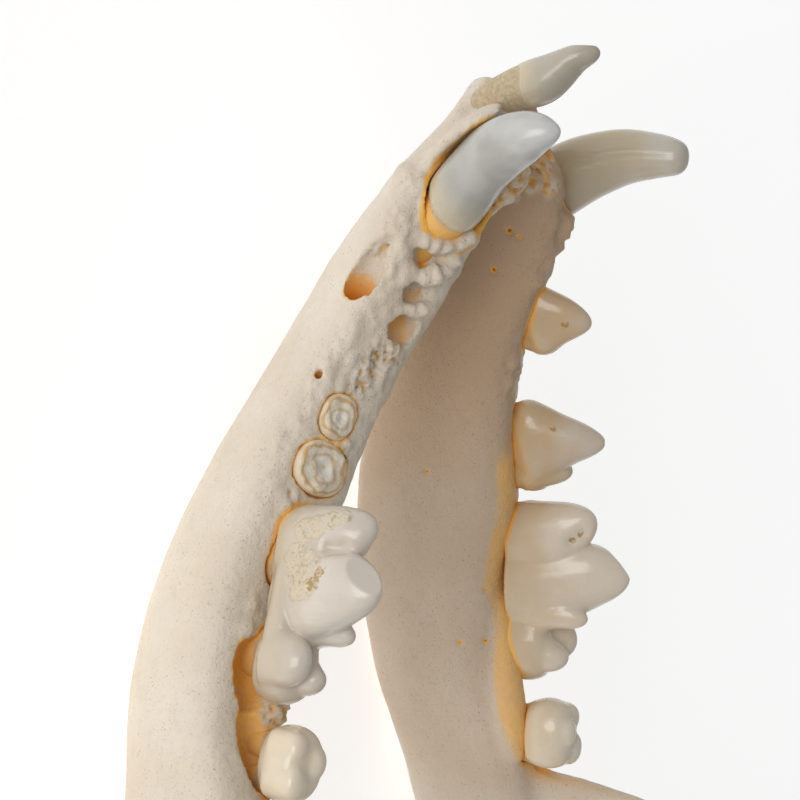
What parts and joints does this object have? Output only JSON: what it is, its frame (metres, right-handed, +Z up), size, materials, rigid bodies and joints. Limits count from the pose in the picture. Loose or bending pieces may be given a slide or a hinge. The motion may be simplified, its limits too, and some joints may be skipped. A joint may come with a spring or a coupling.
{
  "type": "dog lower jaw",
  "caption": "Dry lower jaw of a large dog: two curved tooth-bearing bones joined at the chin, spreading back to upright rami with roller condyles and hooked rear corners.",
  "frame": {"origin": "middle of the bounding box in plan, on the floor that the jaw lies on", "axes": "+X towards the animal's left, -Y towards the chin, +Z up, teeth up"},
  "size_m": [0.1035, 0.1372, 0.0589],
  "materials": {
    "bone": "dry, cleaned bone: cream, matt to slightly waxy",
    "enamel": "tooth enamel: ivory, smooth and glossy, with amber necks"
  },
  "bodies": {
    "root": {"mandible_left": "bone", "mandible_right": "bone"}
  },
  "joints": []
}
